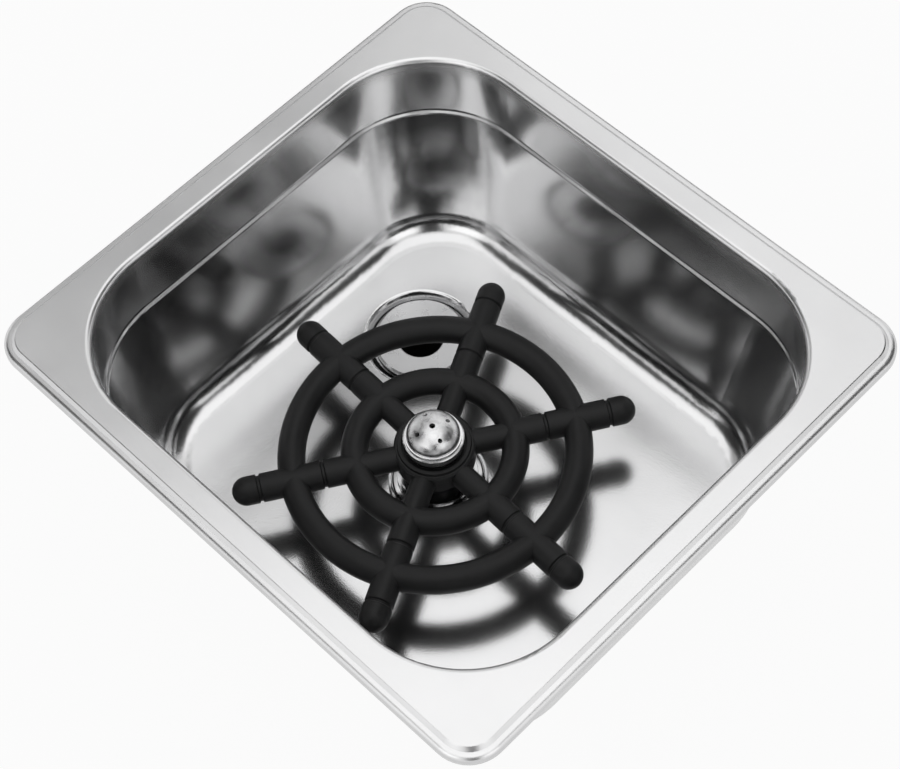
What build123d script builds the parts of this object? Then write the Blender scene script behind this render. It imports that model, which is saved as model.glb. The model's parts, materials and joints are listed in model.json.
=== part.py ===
from build123d import *
from build123d.topology import SkipClean
from math import radians, tan
import os

# Glass rinser for a bar worktop: a pressed steel pan that hangs by its rim, a
# spring-loaded valve through its floor, a spoked push wheel with a spray nozzle
# on the valve's stem, and a waste fitting in a pressed recess.
# Millimetres. The origin is the middle of the rim at worktop height, +Z is up,
# +X runs along the pan's longer side.

# Small allowances that every piece shares
overrun = 2.0
pick_tolerance = 0.01
running_gap = 0.05
thread_gap = 0.05
nut_sides = 6

# Pan, pressed from sheet to the sixth-size gastronorm outline
rim_length = 176.0
rim_width = 162.0
rim_corner_radius = 10.5
rim_height = 3.5
rim_overhang = 9.25
sheet = 0.8
edge_band = 3.2
edge_step = 1.0
step_slope_degrees = 45.0
edge_radius = 1.5
edge_lap = 1.0
crease = 0.5
mouth_radius = 1.5
wall_corner_radius = 32.0
shoulder_depth = 21.6
shoulder_height = 1.2
shoulder_inset = 0.7
shoulder_radius = 1.5
pan_depth = 67.7
wall_taper_degrees = 9.7
floor_radius = 8.0

# Foam strip between the rim and the worktop
strip_width = 3.4
strip_clearance = 0.2

# Push wheel, moulded in black rubber
valve_y = -7.4
wheel_depth = 48.9
wheel_turn_degrees = -3.0
spoke_count = 6
outer_ring_radius = 39.6
outer_ring_wire = 3.9
inner_ring_radius = 22.2
inner_ring_wire = 3.85
spoke_tip_radius = 56.7
spoke_end_wire = 4.05
spoke_middle_wire = 4.0
spoke_inner_wire = 3.5
spoke_root_radius = 9.6
groove_width = 1.2
groove_depth = 0.5
end_groove_inset = 7.6
middle_groove_radius = 31.2
hub_radius = 11.2
hub_crown_radius = 10.3
hub_pocket_radius = 9.1
hub_rise = 4.3
hub_crown_step = 0.7
hub_fall = 3.6
hub_edge = 0.5
web_rise = 2.7
web_thickness = 2.6
skirt_radius = 9.2
skirt_bore = 7.1

# Valve travel and the levels that it settles
travel = 5.0
skirt_gap = 0.5
bush_gap = 0.4

# Spray nozzle on top of the stem
dome_radius = 7.4
dome_height = 4.5
dome_wall = 0.8
dome_skirt_radius = 6.5
dome_skirt_wall = 0.7
dome_skirt_length = 2.2
centre_jet_radius = 0.8
ring_jet_radius = 0.6
ring_jet_count = 4
ring_jet_tilt_degrees = 53.0
ring_jet_turn_degrees = 341.0
collar_radius = 8.4
collar_band = 2.9
collar_edge = 0.3
collar_groove_radius = 7.4
collar_groove = 0.4
collar_lip_radius = 7.8
collar_lip = 0.5
collar_foot_radius = 7.6
collar_foot = 0.7
collar_boss_radius = 5.4
nozzle_washer = 1.0

# Hollow stem
stem_radius = 5.0
stem_thread_radius = 4.0
stem_bore = 2.5
stem_waist_radius = 4.2
stem_stud_radius = 2.5
stem_port_radius = 1.5
stem_port_count = 4
stem_port_drop = 3.0
stem_bore_end = 2.5
hub_washer_radius = 6.0
hub_washer = 0.8

# Valve body through the pan's floor, with the half-inch pipe thread outside
valve_thread_radius = 10.48
valve_flange_radius = 14.1
valve_flange = 3.2
valve_flange_edge = 1.8
valve_gasket = 1.0
valve_gasket_radius = 13.2
body_counterbore = 8.0
body_ledge_bore = 6.0
body_chamber = 7.4
thread_relief_depth = 1.2
thread_relief = 2.0
valve_inlet_thread = 24.0
thread_chamfer = 1.0
hole_clearance = 0.3

# Bonnet nut, guide bush and stem seal
bonnet_radius = 11.5
bonnet_head = 1.5
bonnet_step_radius = 10.4
bonnet_step = 0.7
bonnet_edge = 0.25
bonnet_bore = 6.9
bush_radius = 6.6
bush_flange = 2.5
bush_flange_radius = 7.9
bush_pocket_radius = 6.9
bonnet_spigot = 8.0
seal_height = 2.0

# Seat, poppet, spring and inlet parts inside the body
step_gap = 0.4
seat_gap = 0.6
seat_thickness = 3.0
seat_bore = 5.2
seat_lip = 0.6
seat_lip_radius = 5.8
poppet_radius = 6.0
poppet_seal = 1.6
poppet_disc = 2.0
poppet_nut = 3.0
poppet_nut_flats = 7.0
poppet_nut_corner = 4.0
stud_end = 0.7
thrust_ring = 1.0
thrust_ring_bore = 4.4
spring_wire = 0.5
spring_radius = 5.2
spring_length = 13.0
spring_turns = 6
retainer = 2.5
retainer_bore = 3.6
filter_rim = 1.5
filter_rim_width = 1.0
filter_mesh = 0.5
filter_hole_radius = 0.7
filter_hole_pitch = 2.3
filter_rows = 2
filter_first_row_count = 6
inlet_mouth = 2.0

# Fastening under the floor
under_gasket = 2.0
under_washer = 1.5
under_ring_radius = 15.0
lock_nut = 6.5
lock_nut_flats = 27.0
lock_nut_corner = 15.2
nut_space = 1.5

# Waste recess and fitting
drain_x = -38.0
drain_y = 23.5
recess_mouth_radius = 16.4
recess_floor_radius = 14.4
recess_depth = 2.5
recess_edge_radius = 1.0
recess_corner_radius = 0.6
drain_bore = 6.5
drain_flange_radius = 13.6
drain_flange = 1.4
drain_flange_edge = 0.5
drain_gasket = 0.9
drain_gasket_radius = 12.8
drain_thread_radius = 10.48
drain_ring_radius = 13.2
drain_outlet_thread = 14.0
bore_edge = 0.4

# Levels of the pan
rim_top = rim_height
rim_half_x = rim_length / 2
rim_half_y = rim_width / 2
wall_x = rim_half_x - rim_overhang - sheet
wall_y = rim_half_y - rim_overhang - sheet
shoulder_top = rim_top - shoulder_depth
shoulder_low = shoulder_top - shoulder_height
floor_top = rim_top - pan_depth + sheet
floor_low = floor_top - sheet
band_top = rim_top - edge_step
flange_low = rim_top - sheet

# Levels of the wheel and the nozzle
wheel_z = rim_top - wheel_depth
hub_top = wheel_z + hub_rise
hub_low = wheel_z - hub_fall
web_top = wheel_z + web_rise
web_low = web_top - web_thickness
nozzle_low = web_top + nozzle_washer
collar_low = nozzle_low + collar_foot
collar_band_low = collar_low + collar_edge
collar_band_top = collar_band_low + collar_band
collar_top = collar_band_top + collar_edge + collar_groove + collar_lip
dome_base = collar_top + running_gap
dome_skirt_low = dome_base - dome_skirt_length
collar_floor = dome_skirt_low - running_gap

# Levels of the valve, from the floor up
valve_flange_low = floor_top + valve_gasket
valve_flange_top = valve_flange_low + valve_flange
bonnet_top = valve_flange_top + bonnet_head
skirt_low = bonnet_top + travel + skirt_gap
hub_washer_low = web_low - hub_washer
bush_top = hub_washer_low - travel - bush_gap

# Levels of the valve, from the floor down
bush_flange_top = valve_flange_top - bonnet_spigot
ledge = bush_flange_top - bush_flange
stem_step = ledge - step_gap
seat_top = stem_step - travel - seat_gap
seat_low = seat_top - seat_thickness
seal_top = seat_low - seat_lip
disc_top = seal_top - poppet_seal
disc_low = disc_top - poppet_disc
nut_low = disc_low - poppet_nut
ring_low = disc_low - thrust_ring
spring_low = ring_low - spring_length
retainer_low = spring_low - retainer
filter_low = retainer_low - filter_rim
inlet_low = filter_low - inlet_mouth
stem_top = collar_top

# Levels of the fastenings under the floor
under_gasket_low = floor_low - under_gasket
under_washer_low = under_gasket_low - under_washer
lock_nut_low = under_washer_low - lock_nut
inlet_thread_top = inlet_low + valve_inlet_thread
inlet_relief_top = inlet_thread_top + thread_relief

# Levels of the waste fitting
recess_top = floor_top - recess_depth
recess_low = recess_top - sheet
drain_flange_low = recess_top + drain_gasket
drain_flange_top = drain_flange_low + drain_flange
drain_gasket_low = recess_low - under_gasket
drain_washer_low = drain_gasket_low - under_washer
drain_nut_low = drain_washer_low - lock_nut
drain_relief_low = drain_nut_low - nut_space - thread_relief
drain_low = drain_relief_low - drain_outlet_thread

valve_place = Pos(0, valve_y, 0)
drain_place = Pos(drain_x, drain_y, 0)


def turned(points):
    """A solid of revolution about Z from (radius, height) points."""
    outline = Plane.XZ * make_face(Polyline(*points, close=True))
    return revolve(outline, Axis.Z)


def ring(outer, inner, low, high):
    """A flat ring between two heights."""
    return turned([(inner, low), (outer, low), (outer, high), (inner, high)])


def slab(half_x, half_y, radius, low, high):
    """A rounded rectangle between two heights."""
    outline = RectangleRounded(2 * half_x, 2 * half_y, radius)
    return Pos(0, 0, low) * extrude(outline, high - low)


def tapered(low_size, high_size, low, high):
    """A solid lofted between two rounded rectangles (half x, half y, corner)."""
    faces = []
    for (half_x, half_y, corner), height in ((low_size, low), (high_size, high)):
        faces.append(Pos(0, 0, height) * RectangleRounded(2 * half_x, 2 * half_y, corner))
    return loft(faces, ruled=True)


def level_edges(shape, height, reach):
    """The edges that lie flat at one height and no further out than reach."""
    chosen = []
    for edge in shape.edges():
        box = edge.bounding_box()
        flat = abs(box.min.Z - height) < pick_tolerance and abs(box.max.Z - height) < pick_tolerance
        inside = max(abs(box.min.X), abs(box.max.X)) < reach
        if flat and inside:
            chosen.append(edge)
    return chosen


def basin_form(grow, mouth_slab, mouth_level):
    """The pan's hollow, grown outward by grow, with its flared mouth and rounded floor."""
    upper = (wall_x + grow, wall_y + grow, wall_corner_radius + grow)
    neck = tuple(size - shoulder_inset for size in upper)
    drop = shoulder_low - floor_top
    inset = drop * tan(radians(wall_taper_degrees))
    foot = (neck[0] - inset, neck[1] - inset, neck[2] - inset / 2)
    form = tapered(foot, neck, floor_top - grow, shoulder_low)
    form += tapered(neck, upper, shoulder_low, shoulder_top)
    form += slab(*upper, shoulder_top, mouth_level)
    form += mouth_slab
    reach = upper[0] + pick_tolerance
    form = fillet(level_edges(form, mouth_level, reach), mouth_radius - grow)
    form = fillet(level_edges(form, shoulder_top, reach), shoulder_radius)
    form = fillet(level_edges(form, shoulder_low, reach), shoulder_radius)
    return fillet(level_edges(form, floor_top - grow, reach), floor_radius + grow)


def recess_form(grow, level):
    """The pressed waste recess, from the given floor level down."""
    low = level - recess_depth
    mouth = recess_mouth_radius + grow
    floor = recess_floor_radius + grow
    form = turned([(0, low), (floor, low), (mouth, level), (0, level)])
    return fillet(form.edges().group_by(Axis.Z)[0], recess_corner_radius + grow)


def edge_step_form(shrink, drop):
    """The sloped step from the raised flat down to the edge band."""
    low = tuple(size - edge_band + edge_step - shrink
                for size in (rim_half_x, rim_half_y, rim_corner_radius))
    high = tuple(size - edge_step for size in low)
    form = tapered(low, high, band_top - drop, rim_top - drop)
    return fillet(level_edges(form, rim_top - drop, rim_half_x), crease)


def make_rim():
    """The rim as one sheet: raised flat, sloped step, edge band and turned-down edge."""
    rim = slab(rim_half_x, rim_half_y, rim_corner_radius, 0, band_top)
    rim = fillet(level_edges(rim, band_top, rim_half_x + overrun), edge_radius)
    rim += edge_step_form(0, 0)
    rim -= slab(
        rim_half_x - sheet, rim_half_y - sheet, rim_corner_radius - sheet,
        -overrun, band_top - sheet,
    )
    rim -= edge_step_form(sheet * tan(radians(step_slope_degrees / 2)), sheet)
    return rim


def make_pan():
    lap = edge_band + edge_lap
    flange_slab = slab(
        rim_half_x - lap, rim_half_y - lap, rim_corner_radius - lap, flange_low, rim_top)
    pan = basin_form(sheet, flange_slab, flange_low)
    pan += make_rim()
    pan += drain_place * recess_form(sheet, floor_low)
    sky = slab(rim_half_x, rim_half_y, rim_corner_radius, rim_top, rim_top + overrun)
    pan -= basin_form(0, sky, rim_top)
    mouth = recess_form(0, floor_top)
    mouth += Pos(0, 0, floor_top) * extrude(Circle(recess_mouth_radius + overrun), overrun)
    mouth_reach = recess_mouth_radius + pick_tolerance
    mouth = fillet(level_edges(mouth, floor_top, mouth_reach), recess_edge_radius)
    pan -= drain_place * mouth
    valve_hole = valve_thread_radius + hole_clearance
    pan -= valve_place * ring(valve_hole, 0, floor_low - overrun, floor_top + overrun)
    drain_hole = drain_thread_radius + hole_clearance
    pan -= drain_place * ring(drain_hole, 0, recess_low - overrun, recess_top + overrun)
    return pan


def make_rim_strip():
    outer_x = rim_half_x - edge_band - edge_lap - strip_clearance
    outer_y = rim_half_y - edge_band - edge_lap - strip_clearance
    outer_corner = rim_corner_radius - edge_band - edge_lap - strip_clearance
    strip = slab(outer_x, outer_y, outer_corner, 0, flange_low)
    inner_x = outer_x - strip_width
    inner_y = outer_y - strip_width
    inner_corner = inner_x - wall_x + wall_corner_radius
    strip -= slab(inner_x, inner_y, inner_corner, -overrun, flange_low + overrun)
    return strip


def groove_cutter(place, wire):
    """A ring about X that turns one groove into a spoke of the given wire radius."""
    half = groove_width / 2
    outline = Polyline(
        (place - half, wire), (place - half / 2, wire - groove_depth),
        (place + half / 2, wire - groove_depth), (place + half, wire),
        (place + half, wire + overrun), (place - half, wire + overrun),
        close=True,
    )
    return revolve(make_face(outline), Axis.X)


def make_spoke():
    """One spoke along +X: three shaft sizes, a domed end and two turned grooves."""
    shaft_end = spoke_tip_radius - spoke_end_wire
    side = Polyline(
        (spoke_root_radius, 0),
        (spoke_root_radius, spoke_inner_wire),
        (inner_ring_radius, spoke_inner_wire),
        (inner_ring_radius, spoke_middle_wire),
        (outer_ring_radius, spoke_middle_wire),
        (outer_ring_radius, spoke_end_wire),
        (shaft_end, spoke_end_wire),
    )
    end = CenterArc((shaft_end, 0), spoke_end_wire, 0, 90)
    axis = Line((spoke_root_radius, 0), (spoke_tip_radius, 0))
    spoke = revolve(make_face([side, end, axis]), Axis.X)
    spoke -= groove_cutter(middle_groove_radius, spoke_middle_wire)
    spoke -= groove_cutter(spoke_tip_radius - end_groove_inset, spoke_end_wire)
    return spoke


def ring_arc(radius, wire):
    """One spoke's share of a round-wire ring, centred on +X."""
    share = 360 / spoke_count
    section = Plane.XZ * Pos(radius, 0) * Circle(wire)
    return Rot(0, 0, -share / 2) * revolve(section, Axis.Z, share)


def make_wheel():
    crown_low = hub_top - hub_crown_step
    hub = turned([
        (stem_thread_radius + running_gap, web_low),
        (skirt_bore, web_low),
        (skirt_bore, skirt_low),
        (skirt_radius - hub_edge, skirt_low),
        (skirt_radius, skirt_low + hub_edge),
        (skirt_radius, hub_low),
        (hub_radius - hub_edge, hub_low),
        (hub_radius, hub_low + hub_edge),
        (hub_radius, crown_low - hub_edge),
        (hub_radius - hub_edge, crown_low),
        (hub_crown_radius, crown_low),
        (hub_crown_radius - hub_edge / 2, hub_top),
        (hub_pocket_radius, hub_top),
        (hub_pocket_radius, web_top),
        (stem_thread_radius + running_gap, web_top),
    ])
    sector = make_spoke()
    sector += ring_arc(outer_ring_radius, outer_ring_wire)
    sector += ring_arc(inner_ring_radius, inner_ring_wire)
    wheel = hub
    with SkipClean():
        for number in range(spoke_count):
            angle = wheel_turn_degrees + number * 360 / spoke_count
            wheel += Pos(0, 0, wheel_z) * Rot(0, 0, angle) * sector
    return valve_place * wheel


def make_nozzle_dome():
    inner_radius = dome_skirt_radius - dome_skirt_wall
    inner_height = dome_height - dome_wall
    outer_arc = EllipticalCenterArc((0, dome_base), dome_radius, dome_height, arc_size=90)
    inner_arc = EllipticalCenterArc((0, dome_base), inner_radius, inner_height, arc_size=90)
    skirt = Polyline(
        (inner_radius, dome_base), (inner_radius, dome_skirt_low),
        (dome_skirt_radius, dome_skirt_low), (dome_skirt_radius, dome_base),
        (dome_radius, dome_base),
    )
    pole = Line((0, dome_base + dome_height), (0, dome_base + inner_height))
    dome = revolve(Plane.XZ * make_face([outer_arc, pole, inner_arc, skirt]), Axis.Z)
    dome -= Pos(0, 0, dome_base) * extrude(Circle(centre_jet_radius), dome_height + overrun)
    jet = extrude(Circle(ring_jet_radius), dome_radius + overrun)
    for number in range(ring_jet_count):
        angle = ring_jet_turn_degrees + number * 360 / ring_jet_count
        dome -= Pos(0, 0, dome_base) * Rot(0, 0, angle) * Rot(0, ring_jet_tilt_degrees, 0) * jet
    return valve_place * dome


def make_nozzle_collar():
    bore = stem_thread_radius + thread_gap
    socket = dome_skirt_radius + running_gap
    groove_low = collar_band_top + collar_edge
    lip_low = groove_low + collar_groove
    collar = turned([
        (bore, nozzle_low),
        (collar_foot_radius, nozzle_low),
        (collar_foot_radius, collar_low),
        (collar_radius - collar_edge, collar_low),
        (collar_radius, collar_band_low),
        (collar_radius, collar_band_top),
        (collar_radius - collar_edge, groove_low),
        (collar_groove_radius, groove_low),
        (collar_groove_radius, lip_low),
        (collar_lip_radius, lip_low),
        (collar_lip_radius, collar_top),
        (socket, collar_top),
        (socket, collar_floor),
        (collar_boss_radius, collar_floor),
        (collar_boss_radius, collar_top - collar_edge),
        (bore, collar_top - collar_edge),
    ])
    return valve_place * collar


def make_stem():
    shoulder = hub_washer_low
    bore_low = stem_step - stem_port_drop - stem_bore_end
    stem = turned([
        (stem_bore, stem_top),
        (stem_thread_radius, stem_top),
        (stem_thread_radius, shoulder),
        (stem_radius, shoulder),
        (stem_radius, stem_step),
        (stem_waist_radius, stem_step),
        (stem_waist_radius, seal_top),
        (stem_stud_radius, seal_top),
        (stem_stud_radius, nut_low - stud_end),
        (0, nut_low - stud_end),
        (0, bore_low),
        (stem_bore, bore_low),
    ])
    port = extrude(Circle(stem_port_radius), stem_radius + overrun)
    for number in range(stem_port_count):
        angle = number * 360 / stem_port_count
        stem -= Pos(0, 0, stem_step - stem_port_drop) * Rot(0, 0, angle) * Rot(0, 90, 0) * port
    return valve_place * stem


def make_valve_body():
    relief = valve_thread_radius - thread_relief_depth
    body = turned([
        (body_counterbore, valve_flange_top),
        (valve_flange_radius, valve_flange_top),
        (valve_flange_radius, valve_flange_low),
        (valve_thread_radius, valve_flange_low),
        (valve_thread_radius, inlet_relief_top),
        (relief, inlet_relief_top),
        (relief, inlet_thread_top),
        (valve_thread_radius, inlet_thread_top),
        (valve_thread_radius, inlet_low + thread_chamfer),
        (valve_thread_radius - thread_chamfer, inlet_low),
        (body_chamber, inlet_low),
        (body_chamber, seat_top),
        (body_ledge_bore, seat_top),
        (body_ledge_bore, ledge),
        (body_counterbore, ledge),
    ])
    flange_edges = level_edges(body, valve_flange_top, valve_flange_radius + pick_tolerance)
    rim = [edge for edge in flange_edges
           if edge.bounding_box().max.X > body_counterbore + pick_tolerance]
    return valve_place * fillet(rim, valve_flange_edge)


def make_bonnet_nut():
    spigot = body_counterbore - thread_gap
    head_step = bonnet_top - bonnet_step
    nut = turned([
        (bonnet_bore, bush_flange_top),
        (spigot, bush_flange_top),
        (spigot, valve_flange_top),
        (bonnet_radius, valve_flange_top),
        (bonnet_radius, head_step - bonnet_edge),
        (bonnet_radius - bonnet_edge, head_step),
        (bonnet_step_radius, head_step),
        (bonnet_step_radius, bonnet_top - bonnet_edge),
        (bonnet_step_radius - bonnet_edge, bonnet_top),
        (bonnet_bore, bonnet_top),
    ])
    return valve_place * nut


def make_guide_bush():
    bore = stem_radius + running_gap
    pocket_top = ledge + seal_height
    bush = turned([
        (bore, bush_top),
        (bush_radius, bush_top),
        (bush_radius, bush_flange_top),
        (bush_flange_radius, bush_flange_top),
        (bush_flange_radius, ledge),
        (bush_pocket_radius, ledge),
        (bush_pocket_radius, pocket_top),
        (bore, pocket_top),
    ])
    return valve_place * bush


def make_valve_seat():
    outer = body_chamber - thread_gap
    seat = turned([
        (seat_bore, seal_top),
        (seat_lip_radius, seal_top),
        (seat_lip_radius + seat_lip, seat_low),
        (outer, seat_low),
        (outer, seat_top),
        (seat_bore, seat_top),
    ])
    return valve_place * seat


def make_spring():
    """The return spring, one wound wire."""
    wound_length = spring_length - 2 * spring_wire
    path = Helix(wound_length / spring_turns, wound_length, spring_radius)
    section = Plane(origin=path @ 0, z_dir=path % 0) * Circle(spring_wire)
    coil = sweep(section, path=path, is_frenet=True)
    return valve_place * Pos(0, 0, spring_low + spring_wire) * coil


def hexagon_nut(flats, corner, bore, low, high):
    """A hexagon nut with its corners turned off top and bottom."""
    nut = extrude(RegularPolygon(flats / 2, nut_sides, major_radius=False), high - low)
    drop = corner - flats / 2
    turned_blank = turned([
        (0, 0), (flats / 2, 0), (corner, drop / 2),
        (corner, high - low - drop / 2), (flats / 2, high - low), (0, high - low),
    ])
    nut = nut & turned_blank
    nut -= ring(bore, 0, -overrun, high - low + overrun)
    return Pos(0, 0, low) * nut


def make_filter():
    """The inlet filter: a rim round a drilled disc."""
    outer = body_chamber - running_gap
    disc_high = filter_low + filter_rim
    screen = ring(outer, outer - filter_rim_width, filter_low, disc_high)
    screen += ring(outer - filter_rim_width, 0, disc_high - filter_mesh, disc_high)
    hole = Pos(0, 0, disc_high - filter_mesh - overrun) * extrude(
        Circle(filter_hole_radius), filter_mesh + 2 * overrun)
    screen -= hole
    for row in range(1, filter_rows + 1):
        count = row * filter_first_row_count
        for number in range(count):
            angle = number * 360 / count
            screen -= Rot(0, 0, angle) * Pos(row * filter_hole_pitch, 0, 0) * hole
    return valve_place * screen


def make_drain_body():
    relief = drain_thread_radius - thread_relief_depth
    relief_top = drain_relief_low + thread_relief
    body = turned([
        (drain_bore, drain_flange_top - bore_edge),
        (drain_bore + bore_edge, drain_flange_top),
        (drain_flange_radius - drain_flange_edge, drain_flange_top),
        (drain_flange_radius, drain_flange_top - drain_flange_edge),
        (drain_flange_radius, drain_flange_low),
        (drain_thread_radius, drain_flange_low),
        (drain_thread_radius, relief_top),
        (relief, relief_top),
        (relief, drain_relief_low),
        (drain_thread_radius, drain_relief_low),
        (drain_thread_radius, drain_low + thread_chamfer),
        (drain_thread_radius - thread_chamfer, drain_low),
        (drain_bore, drain_low),
    ])
    return drain_place * body


def save(name, shape):
    shape.label = name
    export_step(shape, os.path.join("parts", name + ".step"))


valve_bore = valve_thread_radius + thread_gap
drain_nut_bore = drain_thread_radius + thread_gap
stem_hole = stem_thread_radius + running_gap
stud_hole = stem_stud_radius + running_gap
seal_bore = stem_radius + running_gap

pieces = {
    "pan": make_pan(),
    "rim_strip": make_rim_strip(),
    "valve_body": make_valve_body(),
    "valve_gasket": valve_place * ring(
        valve_gasket_radius, valve_bore, floor_top, valve_flange_low),
    "valve_under_gasket": valve_place * ring(
        under_ring_radius, valve_bore, under_gasket_low, floor_low),
    "valve_under_washer": valve_place * ring(
        under_ring_radius, valve_bore, under_washer_low, under_gasket_low),
    "valve_lock_nut": valve_place * hexagon_nut(
        lock_nut_flats, lock_nut_corner, valve_bore, lock_nut_low, under_washer_low),
    "bonnet_nut": make_bonnet_nut(),
    "guide_bush": make_guide_bush(),
    "stem_seal": valve_place * ring(
        bush_pocket_radius - running_gap, seal_bore, ledge, ledge + seal_height),
    "valve_seat": make_valve_seat(),
    "spring_retainer": valve_place * ring(
        body_chamber - thread_gap, retainer_bore, retainer_low, spring_low),
    "inlet_filter": make_filter(),
    "return_spring": make_spring(),
    "thrust_ring": valve_place * ring(poppet_radius, thrust_ring_bore, ring_low, disc_low),
    "stem": make_stem(),
    "poppet_seal": valve_place * ring(poppet_radius, stud_hole, disc_top, seal_top),
    "poppet_disc": valve_place * ring(poppet_radius, stud_hole, disc_low, disc_top),
    "poppet_nut": valve_place * hexagon_nut(
        poppet_nut_flats, poppet_nut_corner, stud_hole, nut_low, disc_low),
    "hub_washer": valve_place * ring(hub_washer_radius, stem_hole, hub_washer_low, web_low),
    "push_wheel": make_wheel(),
    "nozzle_washer": valve_place * ring(
        collar_foot_radius, stem_hole, web_top, nozzle_low),
    "nozzle_collar": make_nozzle_collar(),
    "nozzle_dome": make_nozzle_dome(),
    "drain_body": make_drain_body(),
    "drain_gasket": drain_place * ring(
        drain_gasket_radius, drain_nut_bore, recess_top, drain_flange_low),
    "drain_under_gasket": drain_place * ring(
        drain_ring_radius, drain_nut_bore, drain_gasket_low, recess_low),
    "drain_under_washer": drain_place * ring(
        drain_ring_radius, drain_nut_bore, drain_washer_low, drain_gasket_low),
    "drain_lock_nut": drain_place * hexagon_nut(
        lock_nut_flats, lock_nut_corner, drain_nut_bore, drain_nut_low, drain_washer_low),
}

os.makedirs("parts", exist_ok=True)
for name, shape in pieces.items():
    save(name, shape)
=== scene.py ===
# %% [markdown]
# # A glass rinser in its studio
# A glass rinser is a small steel pan let into a bar's worktop. A glass is set upside down on
# the black wheel and pushed; the wheel opens a valve and the domed nozzle washes the glass.
# The measured model already has every piece at its real size, so this lesson is about what
# the model can't carry: screw threads, a wound spring, finishes, light and the
# camera. Everything is in metres, and the middle of the rim at worktop height is the origin.

# %% Open the measured model
import json
import math

import bpy
from mathutils import Matrix, Vector

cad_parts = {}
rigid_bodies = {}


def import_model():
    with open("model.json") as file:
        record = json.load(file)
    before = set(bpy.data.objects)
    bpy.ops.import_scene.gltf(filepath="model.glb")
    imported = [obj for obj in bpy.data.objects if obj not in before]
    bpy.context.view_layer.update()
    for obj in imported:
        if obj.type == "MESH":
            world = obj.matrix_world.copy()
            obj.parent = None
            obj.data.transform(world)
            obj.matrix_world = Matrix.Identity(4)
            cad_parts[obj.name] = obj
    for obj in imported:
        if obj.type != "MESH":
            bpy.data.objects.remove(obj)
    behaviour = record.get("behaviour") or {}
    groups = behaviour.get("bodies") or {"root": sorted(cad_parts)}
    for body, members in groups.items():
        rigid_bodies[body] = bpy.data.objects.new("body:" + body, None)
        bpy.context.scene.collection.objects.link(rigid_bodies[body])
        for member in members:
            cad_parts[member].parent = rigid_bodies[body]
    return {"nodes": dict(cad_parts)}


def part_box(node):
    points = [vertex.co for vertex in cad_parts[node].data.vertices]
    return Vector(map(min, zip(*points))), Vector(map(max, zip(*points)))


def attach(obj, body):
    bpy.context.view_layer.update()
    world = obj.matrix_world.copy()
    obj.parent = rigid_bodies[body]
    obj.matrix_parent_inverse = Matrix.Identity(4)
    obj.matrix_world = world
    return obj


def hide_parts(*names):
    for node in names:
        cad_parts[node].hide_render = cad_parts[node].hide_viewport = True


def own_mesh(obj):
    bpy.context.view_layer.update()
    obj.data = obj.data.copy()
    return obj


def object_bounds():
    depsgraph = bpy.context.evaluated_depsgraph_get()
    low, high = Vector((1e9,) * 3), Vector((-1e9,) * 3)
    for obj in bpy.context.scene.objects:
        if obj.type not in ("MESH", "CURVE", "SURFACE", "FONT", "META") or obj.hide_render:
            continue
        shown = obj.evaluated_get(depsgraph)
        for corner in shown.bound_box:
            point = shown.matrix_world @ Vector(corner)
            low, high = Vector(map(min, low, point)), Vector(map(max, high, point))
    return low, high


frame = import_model()
nodes = frame["nodes"]
cad_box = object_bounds()
MM = 0.001
print("pieces in the model:", len(nodes))

# %% [markdown]
# ## Camera
# The photograph looks down into the pan at 58.4 degrees, from past one corner. Its place was
# solved from the rim's four straight edges, so the camera is set by its own three directions
# and not by a target: that also keeps the small tilt that the photographer's hand left in.
# The focal length was solved in pixels, and the picture's width turns it into millimetres.

# %% Camera
PICTURE_WIDTH = 900
FOCAL_LENGTH = 2187.1
SENSOR_WIDTH = 36.0
CAMERA_PLACE = (0.23082, -0.19836, 0.47589)

picture_right = Vector((0.71138, 0.70101, -0.05029))
picture_up = Vector((-0.58015, 0.62611, 0.52097))
towards_viewer = picture_right.cross(picture_up)
bpy.ops.object.camera_add()
camera = bpy.context.object
turn = Matrix((picture_right, picture_up, towards_viewer)).transposed()
camera.matrix_world = Matrix.Translation(CAMERA_PLACE) @ turn.to_4x4()
camera.data.sensor_fit = "HORIZONTAL"
camera.data.sensor_width = SENSOR_WIDTH
camera.data.lens = FOCAL_LENGTH * SENSOR_WIDTH / PICTURE_WIDTH
bpy.context.scene.camera = camera
print("lens in mm:", round(camera.data.lens, 1))

# %% [markdown]
# ## Studio
# Polished steel has almost no colour of its own: it shows the room. The photograph's pan has a
# pale rim and floor beside nearly black walls, so its room was white above and behind, and dark
# at both sides. Photographers get that with a white surround and black cards. The surround is
# white to the camera and to reflections, and dimmer as a light, so that painted colours come
# out about as they are written.

# %% Surround
SURROUND_LIGHT = 0.55


def shown_white(tree, to_camera, in_reflections):
    """How much of a white glow each kind of ray sees; rays that only carry light see none."""
    ray = tree.nodes.new("ShaderNodeLightPath")
    total = None
    for kind, share in (("Is Camera Ray", to_camera), ("Is Glossy Ray", in_reflections),
                        ("Is Transmission Ray", in_reflections)):
        step = tree.nodes.new("ShaderNodeMath")
        step.operation = "MULTIPLY_ADD"
        step.use_clamp = True
        tree.links.new(ray.outputs[kind], step.inputs[0])
        step.inputs[1].default_value = share
        step.inputs[2].default_value = 0
        if total is not None:
            tree.links.new(total, step.inputs[2])
        total = step.outputs[0]
    return total


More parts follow.
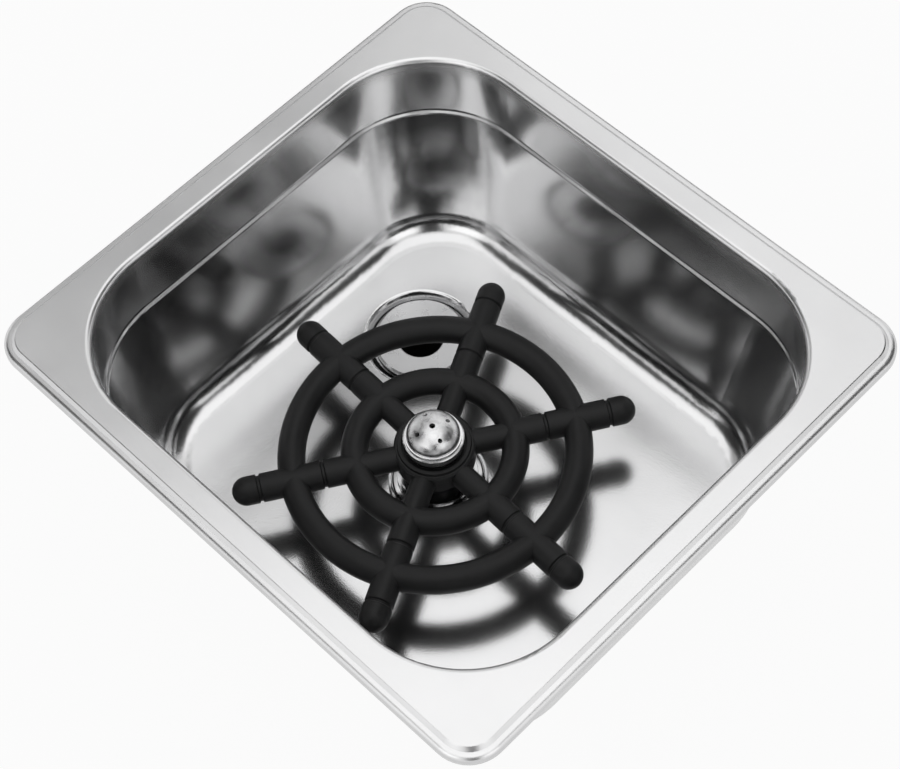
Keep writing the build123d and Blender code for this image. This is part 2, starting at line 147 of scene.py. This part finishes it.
world = bpy.data.worlds.new("studio")
bpy.context.scene.world = world
world.use_nodes = True
sky = world.node_tree
surround = sky.nodes["Background"]
surround.inputs["Color"].default_value = (1, 1, 1, 1)
surround.inputs["Strength"].default_value = SURROUND_LIGHT
white = sky.nodes.new("ShaderNodeBackground")
white.inputs["Color"].default_value = (1, 1, 1, 1)
white.inputs["Strength"].default_value = 1.0
choice = sky.nodes.new("ShaderNodeMixShader")
sky.links.new(shown_white(sky, to_camera=1.0, in_reflections=1.0), choice.inputs[0])
sky.links.new(surround.outputs[0], choice.inputs[1])
sky.links.new(white.outputs[0], choice.inputs[2])
sky.links.new(choice.outputs[0], sky.nodes["World Output"].inputs[0])
print("surround strength:", SURROUND_LIGHT)

# %% [markdown]
# ## Soft lamps
# The surround already lights the pan, and a lamp's reflection adds to it, so the three lamps are
# weak. The one overhead gives the floor its soft shadow; the other two lift the near sides.

# %% Soft lamps
LAMP_TARGET = Vector((0, 0, -0.03))


def soft_light(name, place, size, watts):
    """A square area light that looks at the middle of the pan."""
    bpy.ops.object.light_add(type="AREA", location=place)
    lamp = bpy.context.object
    lamp.name = name
    lamp.data.shape = "SQUARE"
    lamp.data.size = size
    lamp.data.energy = watts
    aim = LAMP_TARGET - Vector(place)
    lamp.rotation_euler = aim.to_track_quat("-Z", "Y").to_euler()
    return lamp


lamps = [
    soft_light("overhead", (-0.05, 0.05, 1.0), size=0.95, watts=0.95),
    soft_light("near_left", (0.07, -0.82, 0.57), size=0.55, watts=0.5),
    soft_light("near_right", (0.81, -0.11, 0.57), size=0.45, watts=0.35),
]
print("soft lights in W:", [round(lamp.data.energy, 2) for lamp in lamps])

# %% [markdown]
# ## Cards
# A card only has to be seen in the steel, so camera, diffuse and shadow rays pass through it.
# Two large black cards darken the pan's two far walls from either side of the picture. A narrow
# one stands where the photographer stood, and gives the dark bar in the pan's far corner. A grey
# one dims the left end of the rim, and a low black one gives the edges their dark lines.

# %% Cards
BLACK = 0.05
GREY = 0.75


def card_paper(name, shade):
    """Matt paper of one grey shade."""
    material = bpy.data.materials.new(name)
    material.use_nodes = True
    paper = material.node_tree.nodes["Principled BSDF"]
    paper.inputs["Base Color"].default_value = (shade, shade, shade, 1)
    paper.inputs["Roughness"].default_value = 1.0
    paper.inputs["Specular IOR Level"].default_value = 0.0
    return material


def card(name, paper, azimuth, elevation, away, width, height):
    """A card that faces the pan from a compass angle and a height angle, both in degrees."""
    around, lift = math.radians(azimuth), math.radians(elevation)
    level = math.cos(lift)
    place = Vector((level * math.cos(around), level * math.sin(around), math.sin(lift))) * away
    facing = place.to_track_quat("Z", "Y").to_euler()
    bpy.ops.mesh.primitive_plane_add(size=1.0, location=place, rotation=facing)
    sheet = bpy.context.object
    sheet.name = name
    sheet.scale = (width, height, 1)
    bpy.ops.object.transform_apply(location=True, rotation=True, scale=True)
    sheet.data.materials.append(paper)
    sheet.visible_camera = False
    sheet.visible_diffuse = False
    sheet.visible_shadow = False
    return sheet


black_paper = card_paper("black_paper", BLACK)
grey_paper = card_paper("grey_paper", GREY)
cards = [
    card("card_right", black_paper, azimuth=56, elevation=38, away=0.9, width=0.80, height=0.78),
    card("card_left", black_paper, azimuth=216, elevation=38, away=0.9, width=0.64, height=0.78),
    card("card_camera", black_paper, azimuth=-40, elevation=34, away=0.9, width=0.34, height=0.82),
    card("card_far_left", grey_paper, azimuth=168, elevation=44, away=0.9, width=0.60, height=0.50),
    card("card_horizon", black_paper, azimuth=139, elevation=7, away=0.95, width=1.5, height=0.32),
]
print("cards:", [sheet.name for sheet in cards])

# %% [markdown]
# ## Floor
# The pan hangs in a worktop in use. Here it stands on the end of its inlet over a plain pale
# floor, so that every side can be seen. The floor glows for the camera, which keeps the
# background white and still shows the soft shadow. It glows less in reflections, so that the
# steel's outer walls don't melt into the background.

# %% Floor
FLOOR_GAP = 0.0001
FLOOR_SIZE = 6.0

floor_level = cad_box[0].z - FLOOR_GAP
bpy.ops.mesh.primitive_plane_add(size=FLOOR_SIZE, location=(0, 0, floor_level))
floor = bpy.context.object
floor.name = "studio_floor"
paint = bpy.data.materials.new("floor_paint")
paint.use_nodes = True
tree = paint.node_tree
matt = tree.nodes["Principled BSDF"]
matt.inputs["Base Color"].default_value = (0.86, 0.86, 0.86, 1)
matt.inputs["Roughness"].default_value = 0.8
glow = tree.nodes.new("ShaderNodeEmission")
glow.inputs["Color"].default_value = (1, 1, 1, 1)
glow.inputs["Strength"].default_value = 1.0
both = tree.nodes.new("ShaderNodeMixShader")
tree.links.new(shown_white(tree, to_camera=0.93, in_reflections=0.55), both.inputs[0])
tree.links.new(matt.outputs[0], both.inputs[1])
tree.links.new(glow.outputs[0], both.inputs[2])
tree.links.new(both.outputs[0], tree.nodes["Material Output"].inputs[0])
floor.data.materials.append(paint)
print("floor level in mm:", round(floor_level / MM, 2))

# %% [markdown]
# ## Turned bodies with their screw threads
# The valve body and the waste body are turned from steel bar and carry a half-inch pipe
# thread, which the measured model shows as plain cylinders. A lathe shapes them by moving a
# tool along an outline, and so does this helper: one circle is extruded from corner to corner
# of the outline, widened or narrowed as it goes, and joined to its own start.

# %% A lathe made of extrudes
SIDES = 96
ON_RING = 0.02


def fresh_start():
    """Leaves edit mode and deselects everything, because operators act on what is selected."""
    if bpy.context.object and bpy.context.object.mode == "EDIT":
        bpy.ops.object.mode_set(mode="OBJECT")
    bpy.ops.object.select_all(action="DESELECT")


def face_outwards():
    """Turns every face of the edited piece outwards and leaves edit mode."""
    bpy.ops.mesh.select_all(action="SELECT")
    bpy.ops.mesh.normals_make_consistent(inside=False)
    bpy.ops.object.mode_set(mode="OBJECT")


def turned_body(name, centre, outline):
    """A closed ring of (radius, height) corners in millimetres about an upright axis."""
    fresh_start()
    radius, level = outline[0]
    x, y = (value * MM for value in centre)
    bpy.ops.mesh.primitive_circle_add(vertices=SIDES, radius=radius * MM, location=(x, y, level * MM))
    piece = bpy.context.object
    piece.name = name
    bpy.ops.object.transform_apply(location=True, rotation=True, scale=True)
    bpy.ops.object.mode_set(mode="EDIT")
    for next_radius, next_level in outline[1:]:
        rise = (next_level - level) * MM
        bpy.ops.mesh.extrude_region_move(TRANSFORM_OT_translate={"value": (0, 0, rise)})
        widen = next_radius / radius
        bpy.ops.transform.resize(value=(widen, widen, 1), center_override=(x, y, next_level * MM))
        radius, level = next_radius, next_level
    bpy.ops.mesh.select_all(action="DESELECT")
    bpy.ops.mesh.select_non_manifold()
    bpy.ops.mesh.bridge_edge_loops()
    face_outwards()
    return piece


def choose(piece, kind, test):
    """Selects the corners ("VERT") or edges ("EDGE") of a piece that pass a test."""
    fresh_start()
    piece.select_set(True)
    bpy.context.view_layer.objects.active = piece
    bpy.ops.object.mode_set(mode="EDIT")
    bpy.ops.mesh.select_mode(type=kind)
    bpy.ops.mesh.select_all(action="DESELECT")
    bpy.ops.object.mode_set(mode="OBJECT")
    for part in piece.data.vertices if kind == "VERT" else piece.data.edges:
        part.select = test(part)
    bpy.ops.object.mode_set(mode="EDIT")


def round_over(piece, centre, reach, level, width, segments):
    """Bevels the ring of edges at one radius and height, all in millimetres."""
    def on_ring(edge):
        ends = [piece.data.vertices[index].co / MM for index in edge.vertices]
        return all(abs(math.hypot(end.x - centre[0], end.y - centre[1]) - reach) < ON_RING
                   and abs(end.z - level) < ON_RING for end in ends)
    choose(piece, "EDGE", on_ring)
    bpy.ops.mesh.bevel(offset=width * MM, segments=segments, affect="EDGES")
    bpy.ops.object.mode_set(mode="OBJECT")


print("sides of a turned body:", SIDES)

# %% [markdown]
# ## The thread itself
# A pipe thread is one ridge wound round the bar: 14 turns to the inch, with flanks 55 degrees
# apart. A flat four-cornered section of the ridge is made first, and the Screw modifier winds
# it. At both ends the last few sections are drawn in towards the axis, so that the ridge runs
# out into the bar, as it does where a die starts and stops.

# %% Screw thread
PITCH = 1.814
CREST = 10.48
ROOT = 9.32
SUNK = 0.1
FOOT = 1.5
CREST_SHARE = 0.22
STEPS = 48
RUN_OUT = 7
SECTION_CORNERS = 4
SHARP = math.radians(34)


def wind(piece, climb, turns):
    """Winds a flat section about the Z axis while it climbs, by so many metres a turn."""
    winding = piece.modifiers.new("winding", "SCREW")
    winding.screw_offset = climb
    winding.iterations = turns
    winding.steps = STEPS
    winding.render_steps = STEPS
    bpy.ops.object.modifier_apply(modifier="winding")


def thread_ridge(centre, low, turns):
    """A right-hand ridge of whole turns that starts at the height low, in millimetres."""
    fresh_start()
    x, y = (value * MM for value in centre)
    middle = (ROOT - SUNK + CREST) / 2
    bpy.ops.mesh.primitive_plane_add(size=1.0, location=(middle * MM, 0, 0), rotation=(math.pi / 2, 0, 0))
    ridge = bpy.context.object
    ridge.scale = ((CREST - ROOT + SUNK) * MM, FOOT * MM, 1)
    bpy.ops.object.transform_apply(location=True, rotation=True, scale=True)
    choose(ridge, "VERT", lambda corner: corner.co.x > middle * MM)
    bpy.ops.transform.resize(value=(1, 1, CREST_SHARE), center_override=(CREST * MM, 0, 0))
    bpy.ops.mesh.select_all(action="SELECT")
    bpy.ops.mesh.delete(type="ONLY_FACE")
    bpy.ops.object.mode_set(mode="OBJECT")
    wind(ridge, PITCH * MM, turns)
    last = len(ridge.data.vertices) // SECTION_CORNERS - 1
    for section in (*range(RUN_OUT), *range(last - RUN_OUT + 1, last + 1)):
        share = min(section, last - section) / RUN_OUT
        choose(ridge, "VERT", lambda corner: corner.index // SECTION_CORNERS == section)
        narrow = (ROOT + (CREST - ROOT) * share) / CREST
        bpy.ops.transform.resize(value=(narrow, narrow, 1), center_override=(0, 0, 0))
    bpy.ops.mesh.select_all(action="DESELECT")
    bpy.ops.mesh.select_non_manifold()
    bpy.ops.mesh.fill()
    face_outwards()
    ridge.location = (x, y, low * MM)
    bpy.ops.object.transform_apply(location=True, rotation=True, scale=True)
    return ridge


def joined(body, *others):
    """One piece out of several, smooth except at its real corners."""
    fresh_start()
    for piece in (body, *others):
        piece.select_set(True)
    bpy.context.view_layer.objects.active = body
    bpy.ops.object.join()
    bpy.ops.object.shade_smooth_by_angle(angle=SHARP)
    return body


print("thread pitch in mm:", PITCH)

# %% [markdown]
# ## Valve body
# Its flange sits on the pan's floor and its bore holds the stem's guide, the seat and the
# spring. Under the lock nut a plain neck ends the upper thread, and the hose's union nut
# screws on the lower one. The heights follow from the model's own box for this piece. The
# waste body has the same outside, so a helper gives the corners that both share.

# %% Valve body
NECK = 9.28
NECK_LENGTH = 2.0
TIP = 9.02
TIP_BEVEL = 0.3
UPPER_TURNS = 3
LOWER_START = 0.9
VALVE_FLANGE = 14.1
VALVE_FLANGE_THICK = 3.2
VALVE_NECK_TOP = 26.0
GUIDE_BORE = 8.0
SEAT_BORE = 6.0
INLET_BORE = 7.4


def centre_of(node):
    """The middle of a node's box seen from above, in millimetres."""
    low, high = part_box(node)
    return ((low.x + high.x) / 2 / MM, (low.y + high.y) / 2 / MM)


def threaded_side(low, nut_low, neck_top):
    """Corners down a body: bar, upper thread's root, plain neck, lower root and tip."""
    neck_foot = neck_top - NECK_LENGTH
    return [
        (CREST, nut_low + 4.0), (ROOT, nut_low + 3.4),
        (ROOT, low + neck_top), (NECK, low + neck_top), (NECK, low + neck_foot),
        (ROOT, low + neck_foot), (ROOT, low + TIP_BEVEL), (TIP, low),
    ]


valve_centre = centre_of("valve_body")
valve_low, valve_high = (corner.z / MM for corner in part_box("valve_body"))
valve_nut_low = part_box("valve_lock_nut")[0].z / MM
valve_flange_low = valve_high - VALVE_FLANGE_THICK
seat_low = valve_high - 16.5
seat_high = valve_high - 10.5
valve_outline = [
    (GUIDE_BORE, valve_high), (VALVE_FLANGE, valve_high), (VALVE_FLANGE, valve_flange_low),
    (CREST, valve_flange_low), *threaded_side(valve_low, valve_nut_low, VALVE_NECK_TOP),
    (INLET_BORE, valve_low), (INLET_BORE, seat_low), (SEAT_BORE, seat_low),
    (SEAT_BORE, seat_high), (GUIDE_BORE, seat_high),
]
valve_piece = turned_body("valve_body_threaded", valve_centre, valve_outline)
round_over(valve_piece, valve_centre, reach=VALVE_FLANGE, level=valve_high, width=1.8, segments=6)
upper_thread = thread_ridge(valve_centre, valve_low + VALVE_NECK_TOP, UPPER_TURNS)
lower_thread = thread_ridge(valve_centre, valve_low + LOWER_START, turns=12)
joined(valve_piece, upper_thread, lower_thread)
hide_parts("valve_body")
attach(valve_piece, "basin")
print("valve body faces:", len(valve_piece.data.polygons))

# %% [markdown]
# ## Waste body
# The same way of working: a thin flange in the pressed recess, a plain 13 mm way through, and
# the thread for the waste hose under its lock nut.

# %% Waste body
WAY = 6.5
WASTE_FLANGE = 13.6
WASTE_FLANGE_THICK = 1.4
WASTE_NECK_TOP = 16.0

waste_centre = centre_of("drain_body")
waste_low, waste_high = (corner.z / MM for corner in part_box("drain_body"))
waste_nut_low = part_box("drain_lock_nut")[0].z / MM
waste_flange_low = waste_high - WASTE_FLANGE_THICK
waste_outline = [
    (WAY, waste_high - 0.4), (6.9, waste_high), (13.1, waste_high),
    (WASTE_FLANGE, waste_high - 0.5), (WASTE_FLANGE, waste_flange_low),
    (CREST, waste_flange_low), *threaded_side(waste_low, waste_nut_low, WASTE_NECK_TOP),
    (WAY, waste_low),
]
waste_piece = turned_body("waste_body_threaded", waste_centre, waste_outline)
waste_upper = thread_ridge(waste_centre, waste_low + WASTE_NECK_TOP, UPPER_TURNS)
waste_lower = thread_ridge(waste_centre, waste_low + LOWER_START, turns=6)
joined(waste_piece, waste_upper, waste_lower)
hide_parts("drain_body")
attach(waste_piece, "basin")
print("waste body faces:", len(waste_piece.data.polygons))

# %% [markdown]
# ## Return spring
# The spring is one wire of six coils, wound from a circle by the same helper. The valve
# shortens it by the wheel's whole travel; here it rides with the basin at its rest length.

# %% Return spring
WIRE = 0.5
WIRE_SIDES = 16
COIL = 5.2
COILS = 6


def at_wire_end(level):
    """A test for the corners of the wire's open end at one height, in millimetres."""
    def test(corner):
        in_plane = abs(corner.co.y) < 0.00001 and corner.co.x > 0
        return in_plane and abs(corner.co.z / MM - level) < WIRE + 0.05
    return test


spring_low, spring_high = (corner.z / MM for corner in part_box("return_spring"))
spring_length = spring_high - spring_low
climb = spring_length - 2 * WIRE
fresh_start()
bpy.ops.mesh.primitive_circle_add(vertices=WIRE_SIDES, radius=WIRE * MM, fill_type="NGON",
                                  location=(COIL * MM, 0, 0), rotation=(math.pi / 2, 0, 0))
spring_piece = bpy.context.object
spring_piece.name = "return_spring_wound"
bpy.ops.object.transform_apply(location=True, rotation=True, scale=True)
choose(spring_piece, "EDGE", lambda edge: True)
bpy.ops.mesh.delete(type="ONLY_FACE")
bpy.ops.object.mode_set(mode="OBJECT")
wind(spring_piece, climb / COILS * MM, COILS)
for level in (0, climb):
    choose(spring_piece, "VERT", at_wire_end(level))
    bpy.ops.mesh.edge_face_add()
face_outwards()
spring_piece.location = (valve_centre[0] * MM, valve_centre[1] * MM, (spring_low + WIRE) * MM)
bpy.ops.object.transform_apply(location=True, rotation=True, scale=True)
bpy.ops.object.shade_smooth_by_angle(angle=math.radians(40))
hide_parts("return_spring")
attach(spring_piece, "basin")
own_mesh(spring_piece)
print("spring length in mm:", round(spring_length, 2))

# %% [markdown]
# ## Finishes: the tools for them
# Each finish is one Principled shader. Numbers that are the same all over go straight on its
# sockets; what varies is built from noise, waves and the height on the piece, all read from
# Object coordinates, so nothing slides when a piece moves. The colour given at the start is
# the flat one, and a pattern linked over it takes its place in the picture.

# %% Finish helpers
# A Mix node has sockets for numbers, vectors and colours; these are the ones for colours.
FIRST_COLOUR, SECOND_COLOUR, MIXED_COLOUR = 6, 7, 2


def begin_finish(name, colour, metallic, roughness):
    """A new material with its shader set; returns the material, its tree and the shader."""
    material = bpy.data.materials.new(name)
    material.use_nodes = True
    shader = material.node_tree.nodes["Principled BSDF"]
    shader.inputs["Base Color"].default_value = (*colour, 1)
    shader.inputs["Metallic"].default_value = metallic
    shader.inputs["Roughness"].default_value = roughness
    return material, material.node_tree, shader


def placed(tree, shift=(0, 0, 0), stretch=(1, 1, 1)):
    """Object coordinates, moved so that shift is their origin, then stretched."""
    where = tree.nodes.new("ShaderNodeTexCoord")
    mapping = tree.nodes.new("ShaderNodeMapping")
    mapping.inputs["Location"].default_value = [-a * b for a, b in zip(shift, stretch)]
    mapping.inputs["Scale"].default_value = stretch
    tree.links.new(where.outputs["Object"], mapping.inputs["Vector"])
    return mapping.outputs["Vector"]


def noise(tree, vector, size, detail=2.0, distortion=0.0):
    """Noise whose blotches are about size metres across."""
    texture = tree.nodes.new("ShaderNodeTexNoise")
    texture.inputs["Scale"].default_value = 1 / size
    texture.inputs["Detail"].default_value = detail
    texture.inputs["Distortion"].default_value = distortion
    tree.links.new(vector, texture.inputs["Vector"])
    return texture.outputs["Fac"]


def remap(tree, value, low, high, to_low, to_high):
    """Stretches one range of numbers on to another, without passing its ends."""
    stretch = tree.nodes.new("ShaderNodeMapRange")
    stretch.inputs["From Min"].default_value = low
    stretch.inputs["From Max"].default_value = high
    stretch.inputs["To Min"].default_value = to_low
    stretch.inputs["To Max"].default_value = to_high
    tree.links.new(value, stretch.inputs["Value"])
    return stretch.outputs["Result"]


def combine(tree, operation, first, second):
    """One maths step between two values, either of which may be a plain number."""
    step = tree.nodes.new("ShaderNodeMath")
    step.operation = operation
    for socket, value in zip(step.inputs, (first, second)):
        if isinstance(value, (int, float)):
            socket.default_value = value
        else:
            tree.links.new(value, socket)
    return step.outputs[0]


def bump(tree, shader, height, depth, below=None):
    """Lets a height pattern, depth metres deep, tilt the surface; can stack on another."""
    relief = tree.nodes.new("ShaderNodeBump")
    relief.inputs["Strength"].default_value = 1.0
    relief.inputs["Distance"].default_value = depth
    tree.links.new(height, relief.inputs["Height"])
    if below is not None:
        tree.links.new(below, relief.inputs["Normal"])
    tree.links.new(relief.outputs["Normal"], shader.inputs["Normal"])
    return relief.outputs["Normal"]


def height_on_piece(tree):
    """The Z of Object coordinates."""
    split = tree.nodes.new("ShaderNodeSeparateXYZ")
    tree.links.new(placed(tree), split.inputs[0])
    return split.outputs["Z"]


def mixed(tree, share, first, second):
    """A colour between two, either of which may be a plain colour or another node's."""
    mix = tree.nodes.new("ShaderNodeMix")
    mix.data_type = "RGBA"
    tree.links.new(share, mix.inputs[0])
    for index, colour in ((FIRST_COLOUR, first), (SECOND_COLOUR, second)):
        if isinstance(colour, bpy.types.NodeSocket):
            tree.links.new(colour, mix.inputs[index])
        else:
            mix.inputs[index].default_value = (*colour, 1)
    return mix.outputs[MIXED_COLOUR]


def shades(tree, shader, value, dark, light):
    """Colours a surface between two shades by a pattern."""
    tree.links.new(mixed(tree, value, dark, light), shader.inputs["Base Color"])


def dress(material, *names):
    """Gives a finish to model nodes, and returns how many there are."""
    for name in names:
        for slot in nodes[name].material_slots:
            slot.material = material
    return len(names)


def coat(material, *pieces):
    """Gives a finish to pieces made here."""
    for piece in pieces:
        piece.data.materials.clear()
        piece.data.materials.append(material)


print("finish helpers ready")

# %% [markdown]
# ## Pressed steel
# The pan is drawn from bright sheet in a press. The rim is left satin; the walls come out
# nearly mirror-like with faint upright draw marks; and the floor has the fine pebble grain
# that blurs the wheel's reflection and breaks it up at its edges. The height on the piece
# tells the rim and the floor from the walls, and both are painted darker than the walls of
# the same steel, as painted shade.

# %% Pressed steel
RIM_FROM, RIM_TO = -0.003, 0.002
FLOOR_FROM, FLOOR_TO = -0.053, -0.061

pan_steel, tree, shader = begin_finish("pressed_steel", (0.64, 0.64, 0.645), 1.0, 0.16)
height = height_on_piece(tree)
rim_share = remap(tree, height, RIM_FROM, RIM_TO, 0, 1)
floor_share = remap(tree, height, FLOOR_FROM, FLOOR_TO, 0, 1)
cloudy = noise(tree, placed(tree), size=0.030, detail=3.0)
base_roughness = remap(tree, cloudy, 0.3, 0.7, 0.15, 0.19)
rim_roughness = combine(tree, "MULTIPLY", rim_share, 0.13)
floor_roughness = combine(tree, "MULTIPLY", floor_share, 0.008)
roughness = combine(tree, "ADD", base_roughness, rim_roughness)
roughness = combine(tree, "ADD", roughness, floor_roughness)
tree.links.new(roughness, shader.inputs["Roughness"])
pebbles = noise(tree, placed(tree), size=0.0004, detail=1.0)
grain = combine(tree, "MULTIPLY", pebbles, floor_share)
grain_normal = bump(tree, shader, grain, depth=0.000011)
draw_marks = noise(tree, placed(tree, stretch=(1, 1, 0.08)), size=0.0012)
draw_normal = bump(tree, shader, draw_marks, depth=0.0000012, below=grain_normal)
waviness = noise(tree, placed(tree), size=0.016, detail=1.0)
bump(tree, shader, waviness, depth=0.00006, below=draw_normal)
tone_and_painted_shade = remap(tree, cloudy, 0.3, 0.7, 0.7, 1.0)
# The rim and the floor are painted darker than the walls of the same steel: painted shade.
tone_and_painted_shade = combine(tree, "SUBTRACT", tone_and_painted_shade, combine(tree, "MULTIPLY", rim_share, 0.15))
tone_and_painted_shade = combine(tree, "SUBTRACT", tone_and_painted_shade, combine(tree, "MULTIPLY", floor_share, 0.45))
shades(tree, shader, tone_and_painted_shade, dark=(0.58, 0.58, 0.585), light=(0.80, 0.80, 0.802))
dress(pan_steel, "pan")
print("pan finish nodes:", len(tree.nodes))

# %% [markdown]
# ## Turned steel
# The valve's flange, the ring inside it and the waste flange are turned on a lathe, which
# leaves fine rings round their axis. Distance from the axis, worked out from X and Y, and the
# height make the rings; a little noise keeps them from being perfect. The waste's bore is
# darkened, because in a worktop no light comes up through it.

# %% Turned steel
BORE_PAINTED_SHADE = (0.022, 0.022, 0.022)
BORE_EDGE = 0.0002
PLAIN_SPECULAR = 0.5


def turned_finish(name, colour, roughness, centre, ring, depth, metallic=1.0, painted_shade_within=0):
    """A lathe finish: rings about an upright axis through centre, ring metres apart."""
    material, tree, shader = begin_finish(name, colour, metallic, roughness)
    vector = placed(tree, shift=(*centre, 0))
    split = tree.nodes.new("ShaderNodeSeparateXYZ")
    tree.links.new(vector, split.inputs[0])
    across = tree.nodes.new("ShaderNodeCombineXYZ")
    tree.links.new(split.outputs["X"], across.inputs["X"])
    tree.links.new(split.outputs["Y"], across.inputs["Y"])
    length = tree.nodes.new("ShaderNodeVectorMath")
    length.operation = "LENGTH"
    tree.links.new(across.outputs[0], length.inputs[0])
    path = tree.nodes.new("ShaderNodeCombineXYZ")
    tree.links.new(length.outputs["Value"], path.inputs["X"])
    tree.links.new(split.outputs["Z"], path.inputs["Y"])
    rings = noise(tree, path.outputs[0], size=ring, detail=3.0)
    bump(tree, shader, rings, depth)
    worn = noise(tree, vector, size=0.004, detail=3.0)
    uneven = remap(tree, worn, 0.3, 0.7, roughness * 0.8, roughness * 1.25)
    tree.links.new(uneven, shader.inputs["Roughness"])
    shades(tree, shader, worn, [c * 0.94 for c in colour], [min(c * 1.05, 1) for c in colour])
    if painted_shade_within:
        # Inside the bore the steel is painted nearly black and loses its shine: painted shade.
        outside = remap(tree, length.outputs["Value"], painted_shade_within, painted_shade_within + BORE_EDGE, 0, 1)
        steel = shader.inputs["Base Color"].links[0].from_socket
        tree.links.new(mixed(tree, outside, BORE_PAINTED_SHADE, steel), shader.inputs["Base Color"])
        tree.links.new(outside, shader.inputs["Metallic"])
        shine = combine(tree, "MULTIPLY", outside, PLAIN_SPECULAR)
        tree.links.new(shine, shader.inputs["Specular IOR Level"])
    return material


valve_axis = [value * MM for value in valve_centre]
waste_axis = [value * MM for value in waste_centre]
valve_steel = turned_finish("turned_steel_valve", (0.66, 0.66, 0.665), 0.16, valve_axis,
                            ring=0.00025, depth=0.000006)
waste_steel = turned_finish("satin_steel_waste", (0.62, 0.62, 0.625), 0.30, waste_axis,
                            ring=0.0004, depth=0.000002, painted_shade_within=0.0066)
steel_pieces = dress(valve_steel, "bonnet_nut", "valve_under_washer", "hub_washer", "stem", "inlet_filter")
steel_pieces += dress(waste_steel, "drain_under_washer")
coat(valve_steel, valve_piece, spring_piece)
coat(waste_steel, waste_piece)
print("turned steel pieces:", steel_pieces + len((valve_piece, spring_piece, waste_piece)))

# %% [markdown]
# ## Nozzle
# The collar is turned and polished, with rings deep enough to catch the light. The dome over it
# is softer: its polish is uneven, so its reflections are patches of light and not a sharp
# picture of the room.

# %% Nozzle
chrome = turned_finish("polished_nozzle", (0.80, 0.80, 0.805), 0.22, valve_axis,
                       ring=0.0007, depth=0.000045)
satin_dome, tree, shader = begin_finish("satin_dome", (0.60, 0.60, 0.605), 1.0, 0.32)
polished = noise(tree, placed(tree), size=0.0022, detail=4.0, distortion=0.6)
patches = remap(tree, polished, 0.36, 0.64, 0, 1)
shades(tree, shader, patches, dark=(0.60, 0.60, 0.605), light=(0.80, 0.80, 0.805))
tree.links.new(remap(tree, polished, 0.36, 0.64, 0.26, 0.38), shader.inputs["Roughness"])
bump(tree, shader, noise(tree, placed(tree), size=0.0014, detail=3.0), depth=0.00005)
nozzle_pieces = dress(chrome, "nozzle_collar") + dress(satin_dome, "nozzle_dome")
print("nozzle pieces:", nozzle_pieces)

# %% [markdown]
# ## Brass
# The lock nuts and the seat are machined brass: warm, a little dulled, with the same lathe
# rings.

# %% Brass
BRASS = (0.72, 0.52, 0.24)

brass_valve = turned_finish("machined_brass_valve", BRASS, 0.26, valve_axis, ring=0.0004, depth=0.000008)
brass_waste = turned_finish("machined_brass_waste", BRASS, 0.26, waste_axis, ring=0.0004, depth=0.000008)
brass_pieces = dress(brass_valve, "valve_lock_nut", "valve_seat", "spring_retainer", "poppet_disc",
                     "poppet_nut")
brass_pieces += dress(brass_waste, "drain_lock_nut")
print("brass pieces:", brass_pieces)

# %% [markdown]
# ## Rubber
# The wheel is moulded in black rubber over a stiff core. It is not glossy and not dead matt:
# a satin skin with a very fine mould grain, a shade lighter where it has been handled. The
# gaskets, the seals and the washer under the collar are a plainer, duller rubber.

# %% Rubber
wheel_rubber, tree, shader = begin_finish("wheel_rubber", (0.022, 0.022, 0.023), 0.0, 0.48)
shader.inputs["Specular IOR Level"].default_value = 0.28
skin = noise(tree, placed(tree), size=0.00035)
skin_normal = bump(tree, shader, skin, depth=0.00003)
handled = noise(tree, placed(tree), size=0.012, detail=3.0)
bump(tree, shader, handled, depth=0.00008, below=skin_normal)
paler = remap(tree, handled, 0.35, 0.7, 0, 1)
shades(tree, shader, paler, dark=(0.009, 0.009, 0.0093), light=(0.017, 0.017, 0.0174))
tree.links.new(remap(tree, handled, 0.3, 0.7, 0.42, 0.56), shader.inputs["Roughness"])
rubber_pieces = dress(wheel_rubber, "push_wheel")

gasket_rubber, tree, shader = begin_finish("gasket_rubber", (0.03, 0.03, 0.03), 0.0, 0.6)
bump(tree, shader, noise(tree, placed(tree), size=0.0006, detail=3.0), depth=0.00004)
cloudy = noise(tree, placed(tree), size=0.005)
shades(tree, shader, cloudy, dark=(0.02, 0.02, 0.02), light=(0.045, 0.045, 0.045))
rubber_pieces += dress(gasket_rubber, "valve_gasket", "valve_under_gasket", "drain_gasket",
                       "drain_under_gasket", "stem_seal", "poppet_seal", "nozzle_washer")
print("rubber pieces:", rubber_pieces)

# %% [markdown]
# ## Foam and plastic
# The strip under the rim is closed-cell foam, and a Voronoi pattern gives it its pores; the
# colour follows the same pattern, so the pore hollows are painted darker as painted shade. The
# stem's guide and the ring under the poppet are turned from black and white plastic.

# %% Foam and plastic
PORE_SIZE = 0.0007

foam, tree, shader = begin_finish("foam_strip", (0.10, 0.10, 0.10), 0.0, 0.9)
pores = tree.nodes.new("ShaderNodeTexVoronoi")
pores.inputs["Scale"].default_value = 1 / PORE_SIZE
tree.links.new(placed(tree), pores.inputs["Vector"])
bump(tree, shader, pores.outputs["Distance"], depth=0.00015)
# The pore hollows are painted darker than the cell walls: painted shade.
shades(tree, shader, pores.outputs["Distance"], dark=(0.05, 0.05, 0.05), light=(0.13, 0.13, 0.13))
soft_pieces = dress(foam, "rim_strip")

black_acetal = turned_finish("black_acetal", (0.03, 0.03, 0.032), 0.4, valve_axis,
                             ring=0.0003, depth=0.000010, metallic=0.0)
white_acetal = turned_finish("white_acetal", (0.78, 0.78, 0.75), 0.4, valve_axis,
                             ring=0.0003, depth=0.000010, metallic=0.0)
plastic_pieces = dress(black_acetal, "guide_bush") + dress(white_acetal, "thrust_ring")
print("foam pieces:", soft_pieces, "and plastic pieces:", plastic_pieces)

# %% [markdown]
# Standard view keeps a colour as it is written.

# %% Finish
bpy.context.scene.view_settings.view_transform = "Standard"
